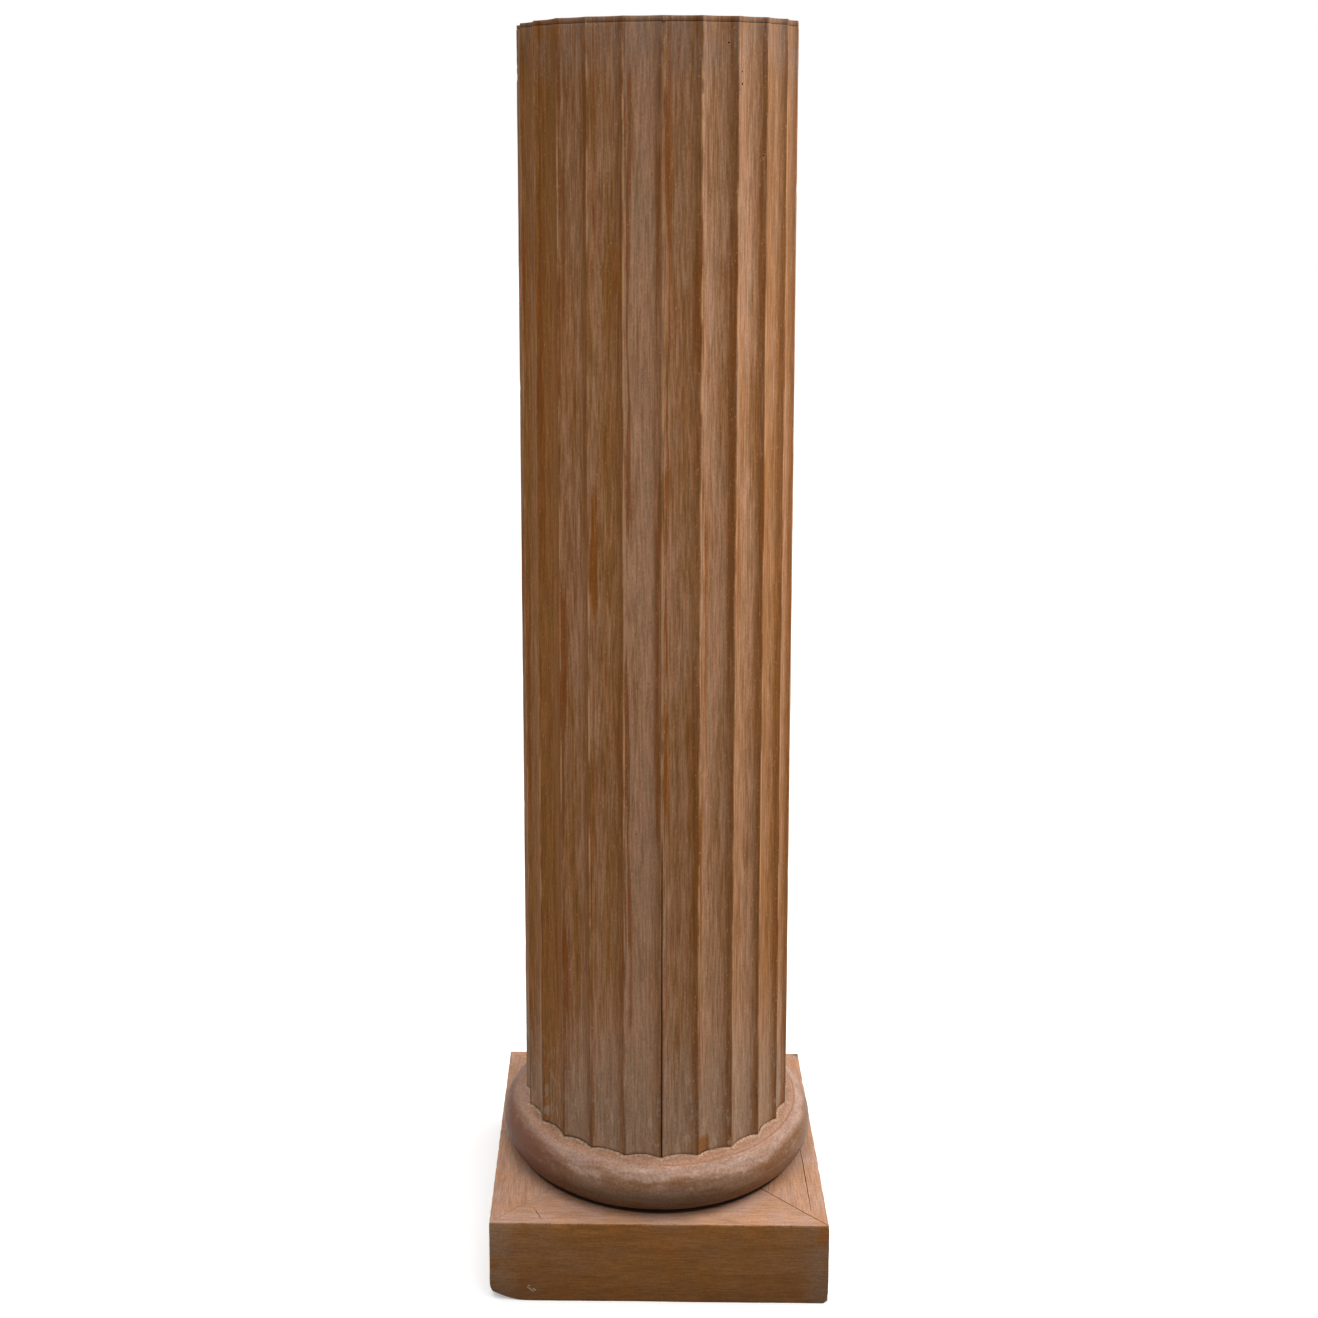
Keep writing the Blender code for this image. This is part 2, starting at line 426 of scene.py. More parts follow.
def make_moulding():
    """Half-round moulding, turned, with a fine line on its shoulder and filler round the shaft."""
    profile, half_height, round_centre = moulding_profile()
    middle = (TORUS_TOP + TORUS_BOTTOM) / 2
    columns = MOULDING_COLUMNS
    angles = np.arange(columns) * 2 * math.pi / columns
    ring = round_points(angles, 1, 0)
    shaft_outline = np.interp(angles, COLUMN_ANGLES, COLUMN_RADII, period=2 * math.pi)
    line_share = 0.5 + 0.5 * np.clip(ripple(73, ring, (0.9, 0.9, 0.9)) + 0.4, 0, 1)
    filler_share = 0.35 + 0.65 * np.clip(ripple(74, ring, (0.25, 0.25, 0.25)) + 0.7, 0, 1)
    points = []
    from_shaft = []
    for radius, height in profile:
        place = round_points(angles, radius, height)
        bow = 0.00030 * np.clip(ripple(71, place, (0.05, 0.05, 0.05)), -1, 1)
        fine = 0.00008 * ripple(72, place, (0.012, 0.012, 0.006))
        worn = 0.0004 + bow + fine if radius > round_centre + MILLIMETRE else 0 * bow
        line = math.exp(-((radius - TURNING_LINE_RADIUS) / 0.0006) ** 2) if height > 0 else 0
        slope = np.array([max(radius - round_centre, 0.0), height]) / half_height
        inward = worn + TURNING_LINE_DEPTH * line * line_share
        ring_radius = radius - slope[0] * inward
        z = middle + height - slope[1] * inward
        beyond = ring_radius - shaft_outline if height > 0 else np.full(columns, 1.0)
        heap = fall(beyond, 0.0, FILLER_WIDTH) * (beyond > 0.0002) * filler_share
        z = z + FILLER_HEIGHT * heap * (1 + 0.3 * ripple(75, place, (0.006, 0.006, 0.006)))
        points.append(round_points(angles, ring_radius, z))
        from_shaft.append(beyond)
    points = np.concatenate(points)
    faces = [face[::-1] for face in tube_faces(len(profile), columns)]
    moulding = new_piece("worn_torus_moulding", points, faces, math.radians(50))
    store(moulding, "from_shaft", "POINT", np.concatenate(from_shaft))
    return moulding


# Plinth

EDGE_ROUND = 0.0007

# Worn lower front corners: side (-1 is left), and how far each reaches up, along the front and along the side
WORN_CORNERS = [(-1, 0.0080, 0.036, 0.024), (1, 0.0052, 0.0052, 0.0052)]

# Splinter lost from the front's upper edge: its middle, half its length and its depth
SPLINTER_PLACE = -0.0890
SPLINTER_REACH = 0.0100
SPLINTER_DEPTH = 0.0035

# Boards: each one's quarter turns, and how far the mitres at its left and right ends stand open
BOARDS = {
    "front": (0, 0.0002, 0.0006),
    "right": (1, 0.0006, 0.0002),
    "back": (2, 0.0002, 0.0002),
    "left": (3, 0.0002, 0.0002),
}
BOARD_ROWS = 150

# Cracks in the top: board, start, end, steps along it, how far it wavers, seed, width and depth
CRACKS = {
    "side_crack": ("right", (0.1384, -0.1300), (0.1378, -0.0200), 24, 0.00025, 1, 0.0010, 0.0040),
    "corner_crack": ("front", (-0.1134, -0.1287), (-0.1046, -0.1480), 8, 0.0003, 2, 0.0010, 0.0025),
    "sliver_crack": ("front", (0.0565, -0.1445), (0.0775, -0.1512), 8, 0.0003, 3, 0.0009, 0.0015),
}

# Nick in the front right edge
NICK_PLACE = Vector((PLINTH_HALF, -PLINTH_HALF, 0.055))
NICK_SIZE = (0.0012, 0.0012, 0.0022)
NICK_ROUGHNESS = 0.00008


def board_section():
    """Outline of a board's end, as distance from its outer face and height, from below."""
    inset, height, width = EDGE_ROUND, PLINTH_HEIGHT, BOARD_WIDTH
    section = []
    for step in range(5):
        angle = math.pi / 2 * step / 4
        section.append((inset - inset * math.sin(angle), inset - inset * math.cos(angle)))
    section += [(0.0, z) for z in np.linspace(inset, height - inset, 24)[1:-1]]
    for step in range(5):
        angle = math.pi / 2 * step / 4
        section.append((inset - inset * math.cos(angle), height - inset + inset * math.sin(angle)))
    section += [(depth, height) for depth in np.linspace(inset, width, 28)[1:]]
    section += [(width, z) for z in np.linspace(height, 0, 6)[1:]]
    section += [(depth, 0.0) for depth in np.linspace(width, inset, 14)[1:-1]]
    return np.array(section)


def worn_corners(x, y, z):
    """Places of a board once its lower front corner has worn away and rounded over."""
    moved_x, moved_y, lowest = x.copy(), y.copy(), np.zeros(len(x))
    for side, up, front, along in WORN_CORNERS:
        from_side = np.clip(PLINTH_HALF - side * x, 0, None)
        from_front = np.clip(y + PLINTH_HALF, 0, None)
        near = np.clip(1 - (from_side / front) - (from_front / along), 0, 1)
        lowest = np.maximum(lowest, up * near ** 1.9)
        rounding = up * near ** 1.5 * np.clip(2 - z / up, 0, 1) ** 2
        moved_x -= side * 0.30 * rounding
        moved_y += 0.25 * rounding
    return moved_x, moved_y, np.maximum(z, lowest)


def lost_splinter(x, y, z):
    """Share of the front's upper edge that has gone with a splinter, at each place."""
    along = np.clip(1 - ((x - SPLINTER_PLACE) / SPLINTER_REACH) ** 2, 0, 1)
    near_front = np.clip(1 - (y + PLINTH_HALF) / SPLINTER_DEPTH, 0, 1)
    near_top = np.clip(1 - (PLINTH_HEIGHT - z) / SPLINTER_DEPTH, 0, 1)
    return along * near_front * near_top


def board_points(name, section):
    """Points of a board between its mitres, row by row, as if it were the front one."""
    unseen = (section[:, 0] > BOARD_WIDTH - MILLIMETRE) | (section[:, 1] < EDGE_ROUND / 2)
    open_share = np.where(unseen, 0.15, 1.0)
    left_gap, right_gap = (gap / math.sqrt(2) * open_share for gap in BOARDS[name][1:])
    shares = np.sin(np.linspace(-0.5, 0.5, BOARD_ROWS) * math.pi * 0.86) / math.sin(math.pi * 0.43)
    rows = []
    for share in shares:
        y = -PLINTH_HALF + section[:, 0]
        low, high = y + left_gap, -y - right_gap
        x = (low + high) / 2 + share * (high - low) / 2
        rows.append(np.column_stack([x, y, section[:, 1]]))
    return np.concatenate(rows)


def make_board(name):
    """One plinth board, mitred at both ends, with its outer edges eased by use."""
    section = board_section()
    points = board_points(name, section)
    turn = BOARDS[name][0] * math.pi / 2
    x = points[:, 0] * math.cos(turn) - points[:, 1] * math.sin(turn)
    y = points[:, 0] * math.sin(turn) + points[:, 1] * math.cos(turn)
    z = points[:, 2]
    placed = np.column_stack([x, y, z])
    outer = np.clip(1 - np.tile(section[:, 0], BOARD_ROWS) / 0.004, 0, 1)
    dents = 0.00016 * (1 + ripple(81, placed, (0.05, 0.05, 0.02))) * outer
    edge = np.exp(-((PLINTH_HEIGHT - z) / 0.003) ** 2) * outer
    dents += 0.0005 * edge * np.clip(ripple(82, placed, (0.015, 0.015, 0.015)), 0, 1)
    dents = np.maximum(dents, 0)
    x = x - math.sin(turn) * dents
    y = y + math.cos(turn) * dents
    swell = 0.0001 * (1 + np.clip(ripple(83, placed, (0.06, 0.06, 0.06)), -1, 1))
    swell = swell * (z > PLINTH_HEIGHT - 0.0002)
    z = z - swell - 0.0004 * edge * np.clip(ripple(84, placed, (0.012, 0.012, 0.012)) - 0.2, 0, 1)
    lost = lost_splinter(x, y, z)
    y = y + 0.0011 * lost
    z = z - 0.0013 * lost
    points = np.column_stack(worn_corners(x, y, z))
    faces = [face[::-1] for face in tube_faces(BOARD_ROWS, len(section))]
    return new_piece("worn_board_" + name, points, faces, math.radians(38))


def crack_cutter(name, route, width, depth):
    """Wedge along a route on a top face, thin at its ends."""
    shape = bmesh.new()
    rings = []
    last = len(route) - 1
    for index, (x, y) in enumerate(route):
        before = Vector(route[max(index - 1, 0)])
        after = Vector(route[min(index + 1, last)])
        along = (after - before).normalized()
        sideways = Vector((-along.y, along.x))
        share = math.sin(math.pi * (0.06 + 0.88 * index / last)) ** 0.5
        middle = Vector((x, y))
        left = middle + sideways * width / 2 * share
        right = middle - sideways * width / 2 * share
        top = PLINTH_HEIGHT + MILLIMETRE
        ring = [
            shape.verts.new((left.x, left.y, top)),
            shape.verts.new((right.x, right.y, top)),
            shape.verts.new((middle.x, middle.y, PLINTH_HEIGHT - depth * share)),
        ]
        rings.append(ring)
    for low, high in zip(rings, rings[1:]):
        for corner in range(3):
            after = (corner + 1) % 3
            shape.faces.new((low[corner], low[after], high[after], high[corner]))
    shape.faces.new(rings[0][::-1])
    shape.faces.new(rings[-1])
    return joined_cutter(name, shape)


def wavering(start, end, steps, waver, seed):
    """A route between two places that wavers as a crack does."""
    random = np.random.default_rng(seed)
    start, end = Vector(start), Vector(end)
    sideways = (end - start).normalized().orthogonal()
    route = []
    for step in range(steps + 1):
        place = start.lerp(end, step / steps) + sideways * waver * random.uniform(-1, 1)
        route.append((place.x, place.y))
    return route


def nick_cutter():
    """Small rough scoop out of an edge."""
    shape = bmesh.new()
    matrix = Matrix.Translation(NICK_PLACE) @ Matrix.Diagonal((*NICK_SIZE, 1))
    bmesh.ops.create_icosphere(shape, subdivisions=3, radius=1, matrix=matrix)
    random = np.random.default_rng(91)
    for vertex in shape.verts:
        vertex.co += Vector(random.uniform(-NICK_ROUGHNESS, NICK_ROUGHNESS, 3))
    return joined_cutter("side_nick", shape)


def make_plinth():
    """The four boards, with their cracks and their nick."""
    boards = {name: make_board(name) for name in BOARDS}
    cutters = {"right": [], "front": []}
    for name, (board, start, end, steps, waver, seed, width, depth) in CRACKS.items():
        route = wavering(start, end, steps, waver, seed)
        cutters[board].append(crack_cutter(name, route, width, depth))
    cutters["front"].append(nick_cutter())
    for board, shapes in cutters.items():
        carve(boards[board], shapes)
    return boards


# Paint

RELIEF_HEIGHT = 0.0004
RELIEF_STRENGTH = 0.6


class Paint:
    """A material under construction, with short ways to add its nodes."""

    def __init__(self, name):
        self.material = bpy.data.materials.new(name)
        self.material.use_nodes = True
        self.tree = self.material.node_tree
        self.shader = self.tree.nodes["Principled BSDF"]
        coordinates = self.add("ShaderNodeTexCoord")
        self.place = coordinates.outputs["Object"]
        self.normal = coordinates.outputs["Normal"]

    def add(self, kind, **settings):
        """Add a node and set its properties."""
        made = self.tree.nodes.new(kind)
        for key, value in settings.items():
            setattr(made, key, value)
        return made

    def feed(self, socket, value):
        """Link a socket, or set a plain value. A span (value, low, high) first goes through between."""
        if isinstance(value, tuple) and isinstance(value[0], bpy.types.NodeSocket):
            value = self.between(*value)
        if isinstance(value, bpy.types.NodeSocket):
            self.tree.links.new(value, socket)
        else:
            socket.default_value = value

    def math(self, operation, first, second=0.0):
        """A Math node."""
        made = self.add("ShaderNodeMath", operation=operation)
        self.feed(made.inputs[0], first)
        self.feed(made.inputs[1], second)
        return made.outputs[0]

    def product(self, first, *others):
        """Several masks or numbers multiplied."""
        for other in others:
            first = self.math("MULTIPLY", first, other)
        return first

    def total(self, first, *others):
        """Several numbers added."""
        for other in others:
            first = self.math("ADD", first, other)
        return first

    def away(self, value, middle):
        """How far a number is from a middle one."""
        return self.math("ABSOLUTE", self.math("SUBTRACT", value, middle))

    def opposite(self, mask):
        """1 where a mask is 0, and 0 where it is 1."""
        return self.math("SUBTRACT", 1.0, mask)

    def between(self, value, low, high):
        """0 below low, 1 above high and smooth in between. low may be the higher one."""
        made = self.add("ShaderNodeMapRange", interpolation_type="SMOOTHSTEP")
        rising = low < high
        self.feed(made.inputs["Value"], value)
        made.inputs["From Min"].default_value = min(low, high)
        made.inputs["From Max"].default_value = max(low, high)
        made.inputs["To Min"].default_value = 0.0 if rising else 1.0
        made.inputs["To Max"].default_value = 1.0 if rising else 0.0
        return made.outputs["Result"]

    def mix(self, share, first, second):
        """One colour laid over another, as far as share says."""
        made = self.add("ShaderNodeMix", data_type="RGBA")
        self.feed(made.inputs[0], share)
        self.feed(made.inputs[6], first)
        self.feed(made.inputs[7], second)
        return made.outputs[2]

    def lay(self, colour, laid, *masks):
        """Another colour laid over the first one where all the masks agree."""
        return self.mix(self.product(*masks), colour, laid)

    def shade(self, colour, pattern, low, high):
        """A colour made darker or lighter where a pattern from 0 to 1 is low or high."""
        grey = self.mix(pattern, (low, low, low, 1), (high, high, high, 1))
        made = self.add("ShaderNodeMix", data_type="RGBA", blend_type="MULTIPLY")
        made.inputs[0].default_value = 1.0
        self.feed(made.inputs[6], colour)
        self.feed(made.inputs[7], grey)
        return made.outputs[2]

    def noise(self, scales, offset, detail=3.0, roughness=0.55, distortion=0.0, place=None):
        """Noise from 0 to 1 whose spots are about 1 / scales metres long on each axis."""
        mapping = self.add("ShaderNodeMapping")
        self.feed(mapping.inputs["Vector"], place or self.place)
        mapping.inputs["Scale"].default_value = scales
        mapping.inputs["Location"].default_value = (offset, offset * 0.7, offset * 1.3)
        noise = self.add("ShaderNodeTexNoise")
        self.feed(noise.inputs["Vector"], mapping.outputs["Vector"])
        noise.inputs["Scale"].default_value = 1.0
        noise.inputs["Detail"].default_value = detail
        noise.inputs["Roughness"].default_value = roughness
        noise.inputs["Distortion"].default_value = distortion
        return noise.outputs["Fac"]

    def attribute(self, name):
        """A number stored on the mesh."""
        return self.add("ShaderNodeAttribute", attribute_name=name).outputs["Fac"]

    def axes(self, place):
        """The three coordinates of a place."""
        split = self.add("ShaderNodeSeparateXYZ")
        self.feed(split.inputs[0], place)
        return split.outputs["X"], split.outputs["Y"], split.outputs["Z"]

    def around(self):
        """Angle from the front, distance from the column's axis and height."""
        x, y, z = self.axes(self.place)
        angle = self.math("ARCTAN2", x, self.math("MULTIPLY", y, -1.0))
        squares = self.total(self.math("POWER", x, 2.0), self.math("POWER", y, 2.0))
        return angle, self.math("SQRT", squares), z

    def relief(self, heights):
        """Raise the surface by a fine pattern."""
        bump = self.add("ShaderNodeBump")
        bump.inputs["Distance"].default_value = RELIEF_HEIGHT
        bump.inputs["Strength"].default_value = RELIEF_STRENGTH
        self.feed(bump.inputs["Height"], heights)
        self.feed(self.shader.inputs["Normal"], bump.outputs["Normal"])

    def finish(self, colour, roughness, shine):
        """Give the shader its colour, roughness and shine."""
        self.feed(self.shader.inputs["Base Color"], colour)
        self.feed(self.shader.inputs["Roughness"], roughness)
        self.shader.inputs["Specular IOR Level"].default_value = shine
        return self.material


# Colours of the shaft's wood and of what is left on it, and near black for painted shade
BROWN = (0.295, 0.118, 0.033, 1)
OLIVE_BROWN = (0.242, 0.101, 0.022, 1)
DEEP_BROWN = (0.180, 0.066, 0.014, 1)
OLD_STAIN = (0.205, 0.058, 0.008, 1)
PINK_WASH = (0.410, 0.212, 0.126, 1)
GREY_WASH = (0.355, 0.206, 0.118, 1)
FOOT_WASH = (0.300, 0.190, 0.122, 1)
FOOT_CRUST = (0.400, 0.285, 0.205, 1)
GREY_FILM = (0.270, 0.172, 0.125, 1)
FOOT_LINE_BROWN = (0.100, 0.038, 0.011, 1)
RUST = (0.240, 0.080, 0.012, 1)
BARE_WOOD = (0.560, 0.300, 0.140, 1)
# Near black for painted shade in the holes, in the open glue line and under the moulding
PAINTED_SHADE_BLACK = (0.020, 0.010, 0.005, 1)
BOARD_BROWN = (0.185, 0.090, 0.046, 1)
BOARD_PALE = (0.290, 0.165, 0.100, 1)

# Streaks of old stain beside the arrises: arris (0 is the front one, counted to the right), distance of the
# streak's middle from it, half the width, lower and upper end, and strength
STAIN_STREAKS = [
    (-2, 0.0040, 0.0030, 0.612, 0.752, 0.95),
    (-2, 0.0040, 0.0022, 0.380, 0.530, 0.65),
    (-3, -0.0030, 0.0030, 0.500, 0.745, 0.60),
    (-1, -0.0055, 0.0040, 0.905, 0.950, 0.60),
    (0, 0.0022, 0.0012, 0.440, 0.570, 0.80),
    (0, 0.0018, 0.0016, 1.090, 1.135, 0.85),
    (3, 0.0060, 0.0030, 0.880, 0.925, 0.70),
    (1, 0.0058, 0.0070, 0.112, 0.1430, 0.80),
    (-3, 0.0012, 0.0010, 0.110, 0.2600, 0.60),
    (-2, 0.0016, 0.0013, 0.110, 0.2500, 0.60),
    (2, 0.0036, 0.0016, 0.110, 0.2000, 0.60),
    (3, 0.0030, 0.0018, 0.110, 0.2300, 0.60),
]


def wood_patterns(paint):
    """Places on the shaft and the patterns that its colours follow, from fine to broad."""
    angle, radius, height = paint.around()
    return SimpleNamespace(
        angle=angle,
        radius=radius,
        height=height,
        x=paint.axes(paint.place)[0],
        foot=paint.product((height, 0.26, 0.14), 0.8),
        facing_up=(paint.axes(paint.normal)[2], 0.60, 0.90),
        nearness=paint.attribute("arris_nearness"),
        lean=paint.attribute("flute_lean"),
        specks=paint.noise((620, 620, 380), 23.0, detail=1),
        fibres=paint.noise((580, 580, 34), 3.0, detail=2, roughness=0.65),
        tints=paint.noise((310, 310, 17), 31.0, detail=4, roughness=0.65),
        strands=paint.noise((210, 210, 10), 5.0, detail=5, roughness=0.68),
        patina=paint.noise((190, 190, 70), 29.0, detail=4, roughness=0.65),
        bands=paint.noise((80, 80, 3.6), 7.0, detail=4),
        clouds=paint.noise((60, 60, 15), 11.0, detail=5, roughness=0.6),
    )


def washed_wood(paint, wood):
    """Brown wood with what is left of the pale wash in each flute."""
    colour = paint.mix((wood.tints, 0.36, 0.64), OLIVE_BROWN, BROWN)
    colour = paint.lay(colour, DEEP_BROWN, (wood.strands, 0.52, 0.30), 0.6)
    colour = paint.lay(colour, OLD_STAIN, (wood.bands, 0.54, 0.66), 0.5)
    level = paint.total(
        paint.product(paint.attribute("flute_wash"), 0.36),
        paint.product((wood.height, 0.30, 0.14), 0.24),
        paint.product(wood.bands, 0.35),
        paint.product(wood.strands, 0.45),
        paint.product(wood.clouds, 0.25),
        paint.product(wood.fibres, 0.25),
    )
    wash = paint.mix((wood.tints, 0.34, 0.66), GREY_WASH, PINK_WASH)
    wash = paint.mix(wood.foot, wash, FOOT_WASH)
    return paint.lay(colour, wash, (level, 0.68, 1.02), 0.92)


def streak_mask(paint, wood, streak):
    """Where a streak of old stain lies, with ragged sides and faded ends."""
    arris, offset, reach, low, high, strength = streak
    arris_turn = FRONT_TURN + arris * FLUTE_PITCH + math.radians(ARRIS_SHIFTS.get(arris, 0.0))
    turn = arris_turn + offset / ARRIS_RADIUS
    fade = (high - low) / 5
    off_streak = paint.total(
        paint.product(paint.away(wood.angle, turn), ARRIS_RADIUS),
        paint.product(wood.strands, 0.008),
        paint.product(wood.fibres, 0.004),
    )
    return paint.product(
        (off_streak, reach + 0.0068, reach + 0.0044),
        (wood.height, low, low + fade),
        (wood.height, high, high - fade),
        strength,
    )


def stains_and_flute_shade(paint, wood, colour):
    """Stain that stayed beside the arrises, and painted shade on the side of each flute that faces away from
    the light.
    """
    side_streaks = paint.noise((170, 170, 5.5), 19.0, detail=3, roughness=0.55)
    colour = paint.lay(
        colour,
        OLD_STAIN,
        (wood.nearness, 0.40, 0.70),
        (side_streaks, 0.53, 0.58),
        (wood.fibres, 0.25, 0.45),
        paint.opposite(wood.foot),
        0.8,
    )
    # Painted shade: darker on the side of each flute that faces away from the light, more so on the lit right
    # of the shaft
    flute_shade = paint.product((wood.nearness, 0.25, 0.90), (wood.lean, 0.1, -0.35))
    lit_side = paint.total(paint.product((wood.x, 0.030, 0.085), 0.25), 0.65)
    colour = paint.lay(colour, DEEP_BROWN, flute_shade, (wood.strands, 0.28, 0.50), lit_side)
    for streak in STAIN_STREAKS:
        colour = paint.lay(colour, RUST, streak_mask(paint, wood, streak))
    return colour


def worn_ends(paint, wood, colour):
    """Pale crust and dark lines beside the arrises at the foot, lighter middle heights, and a grey film at
    the top.
    """
    crust = (wood.patina, 0.54, 0.64)
    colour = paint.lay(colour, FOOT_CRUST, wood.foot, crust, 0.65)
    # Dark lines beside the arrises at the foot
    arris_lines = paint.product((wood.nearness, 0.84, 0.95), (wood.strands, 0.32, 0.46))
    colour = paint.lay(colour, FOOT_LINE_BROWN, wood.foot, arris_lines, 0.75)
    film = paint.product((wood.height, 1.075, 1.125), (wood.clouds, 0.40, 0.56))
    colour = paint.lay(colour, GREY_FILM, film, 0.5)
    # Lighter in the middle heights
    middle_band = paint.product((wood.height, 0.42, 0.62), (wood.height, 1.02, 0.86))
    colour = paint.shade(colour, middle_band, 1.0, 1.10)
    return paint.shade(colour, (wood.height, 1.00, 1.12), 1.0, 0.92)


def rubbed_wood_and_highlights(paint, wood, colour):
    """Fine grain, bare wood and a painted highlight along the rubbed arrises, and pale and dark specks."""
    colour = paint.shade(colour, (wood.fibres, 0.28, 0.72), 0.80, 1.18)
    colour = paint.shade(colour, (wood.specks, 0.30, 0.70), 0.92, 1.07)
    # Light lines along the arrises: rubbed bare wood and painted highlight
    colour = paint.lay(
        colour,
        BARE_WOOD,
        (wood.radius, ARRIS_RADIUS - 0.0010, ARRIS_RADIUS - 0.0004),
        (wood.clouds, 0.44, 0.58),
        (wood.strands, 0.35, 0.55),
        (wood.height, 0.20, 0.36),
        0.8,
    )
    colour = paint.lay(colour, BARE_WOOD, (wood.specks, 0.70, 0.76), 0.5)
    return paint.lay(colour, DEEP_BROWN, (wood.specks, 0.28, 0.22), 0.6)


def painted_shade_in_openings(paint, wood):
    """Painted shade: near black inside the beetle holes and the open glue line."""
    hole = (wood.radius, FLUTE_RADIUS - 0.0006, FLUTE_RADIUS - 0.0016)
    hole = paint.product(hole, paint.opposite(wood.facing_up))
    off_seam = paint.product(paint.away(wood.angle, FRONT_TURN), ARRIS_RADIUS)
    seam = (off_seam, 0.0008, 0.0003)
    seam = paint.product(seam, (wood.height, SEAM_TOP, SEAM_TOP - 0.12), 0.75)
    return paint.math("MAXIMUM", hole, seam)


def top_face(paint, wood):
    """Weathered upper face of the top board, whose grain runs from side to side."""
    grain = paint.noise((16, 300, 300), 41.0, detail=4, roughness=0.6)
    colour = paint.mix((grain, 0.34, 0.66), BOARD_BROWN, BOARD_PALE)
    return paint.shade(colour, (wood.clouds, 0.35, 0.65), 0.82, 1.12)


def shaft_paint(name, weathered):
    """Stripped wood with streaks of old stain, and pale wash that differs from flute to flute.

    The weathered wood is the top board's: darker, with another grain on its upper face.
    """
    paint = Paint(name)
    wood = wood_patterns(paint)
    colour = washed_wood(paint, wood)
    colour = stains_and_flute_shade(paint, wood, colour)
    colour = worn_ends(paint, wood, colour)
    colour = rubbed_wood_and_highlights(paint, wood, colour)
    # Painted shade in the beetle holes and the open glue line
    colour = paint.lay(colour, PAINTED_SHADE_BLACK, painted_shade_in_openings(paint, wood))
    if weathered:
        colour = paint.shade(colour, wood.clouds, 0.72, 0.98)
        colour = paint.lay(colour, top_face(paint, wood), wood.facing_up)
    paint.relief(paint.total(wood.fibres, wood.strands))
    rough = paint.total(paint.product(wood.bands, 0.25), 0.52)
    return paint.finish(colour, rough, 0.12)


# Colours of the moulding from its underside up to its flat top
UNDER_BROWN = (0.105, 0.042, 0.014, 1)
UNDER_GREY = (0.130, 0.068, 0.036, 1)
TURNED_BROWN = (0.175, 0.076, 0.030, 1)
TURNED_PINK = (0.220, 0.125, 0.082, 1)
SHOULDER_BROWN = (0.300, 0.165, 0.105, 1)
SHOULDER_PINK = (0.360, 0.228, 0.172, 1)
# Partly the shoulder's bleached grey, partly painted sheen
SHOULDER_GREY_AND_SHEEN = (0.430, 0.300, 0.245, 1)
LEFT_BROWN = (0.135, 0.050, 0.026, 1)
RIM_WOOD = (0.325, 0.172, 0.102, 1)
LINE_RED = (0.230, 0.080, 0.030, 1)
PALE_FILLER = (0.400, 0.290, 0.200, 1)


def round_the_moulding(paint, x, y, radius, height):
    """Coordinates that follow the moulding round and over its edge, without a seam."""
    half_height = (TORUS_TOP - TORUS_BOTTOM) / 2
    rise = paint.math("SUBTRACT", height, TORUS_TOP - half_height)
    out = paint.math("SUBTRACT", radius, TORUS_RADIUS - half_height)
    ring = [paint.product(paint.math("DIVIDE", axis, radius), TORUS_RADIUS) for axis in (x, y)]
    ring.append(paint.product(paint.math("ARCTAN2", rise, out), half_height))
    wrapped = paint.add("ShaderNodeCombineXYZ")
    for socket, value in zip(wrapped.inputs, ring):
        paint.feed(socket, value)
    return wrapped.outputs["Vector"]


def turned_wood(paint, x, height, streaks, patches, blotches):
    """Brown below, with painted light making the underside lighter towards the right, pinkish on the rounded
    edge and pale on the shoulder.
    """
    under = paint.mix((patches, 0.34, 0.66), UNDER_BROWN, UNDER_GREY)
    # Painted light: the underside lighter towards the lit right
    under = paint.shade(under, (x, 0.030, 0.105), 1.0, 1.5)
    middle = paint.mix((patches, 0.36, 0.64), TURNED_BROWN, TURNED_PINK)
    middle = paint.lay(middle, TURNED_BROWN, (streaks, 0.50, 0.66), 0.5)
    middle = paint.lay(middle, SHOULDER_PINK, (blotches, 0.52, 0.62), 0.45)
    pale = paint.mix((patches, 0.34, 0.64), SHOULDER_BROWN, SHOULDER_PINK)
    # Grey blotches on the shoulder: partly bleached wood, partly painted sheen
    pale = paint.lay(pale, SHOULDER_GREY_AND_SHEEN, (blotches, 0.53, 0.63), 0.5)
    pale = paint.lay(pale, TURNED_BROWN, (blotches, 0.45, 0.35), 0.35)
    level = paint.total(height, paint.product(paint.math("SUBTRACT", patches, 0.5), 0.010))
    colour = paint.mix((level, TORUS_TOP - 0.028, TORUS_TOP - 0.012), under, middle)
    return paint.mix((level, TORUS_TOP - 0.015, TORUS_TOP - 0.004), colour, pale)


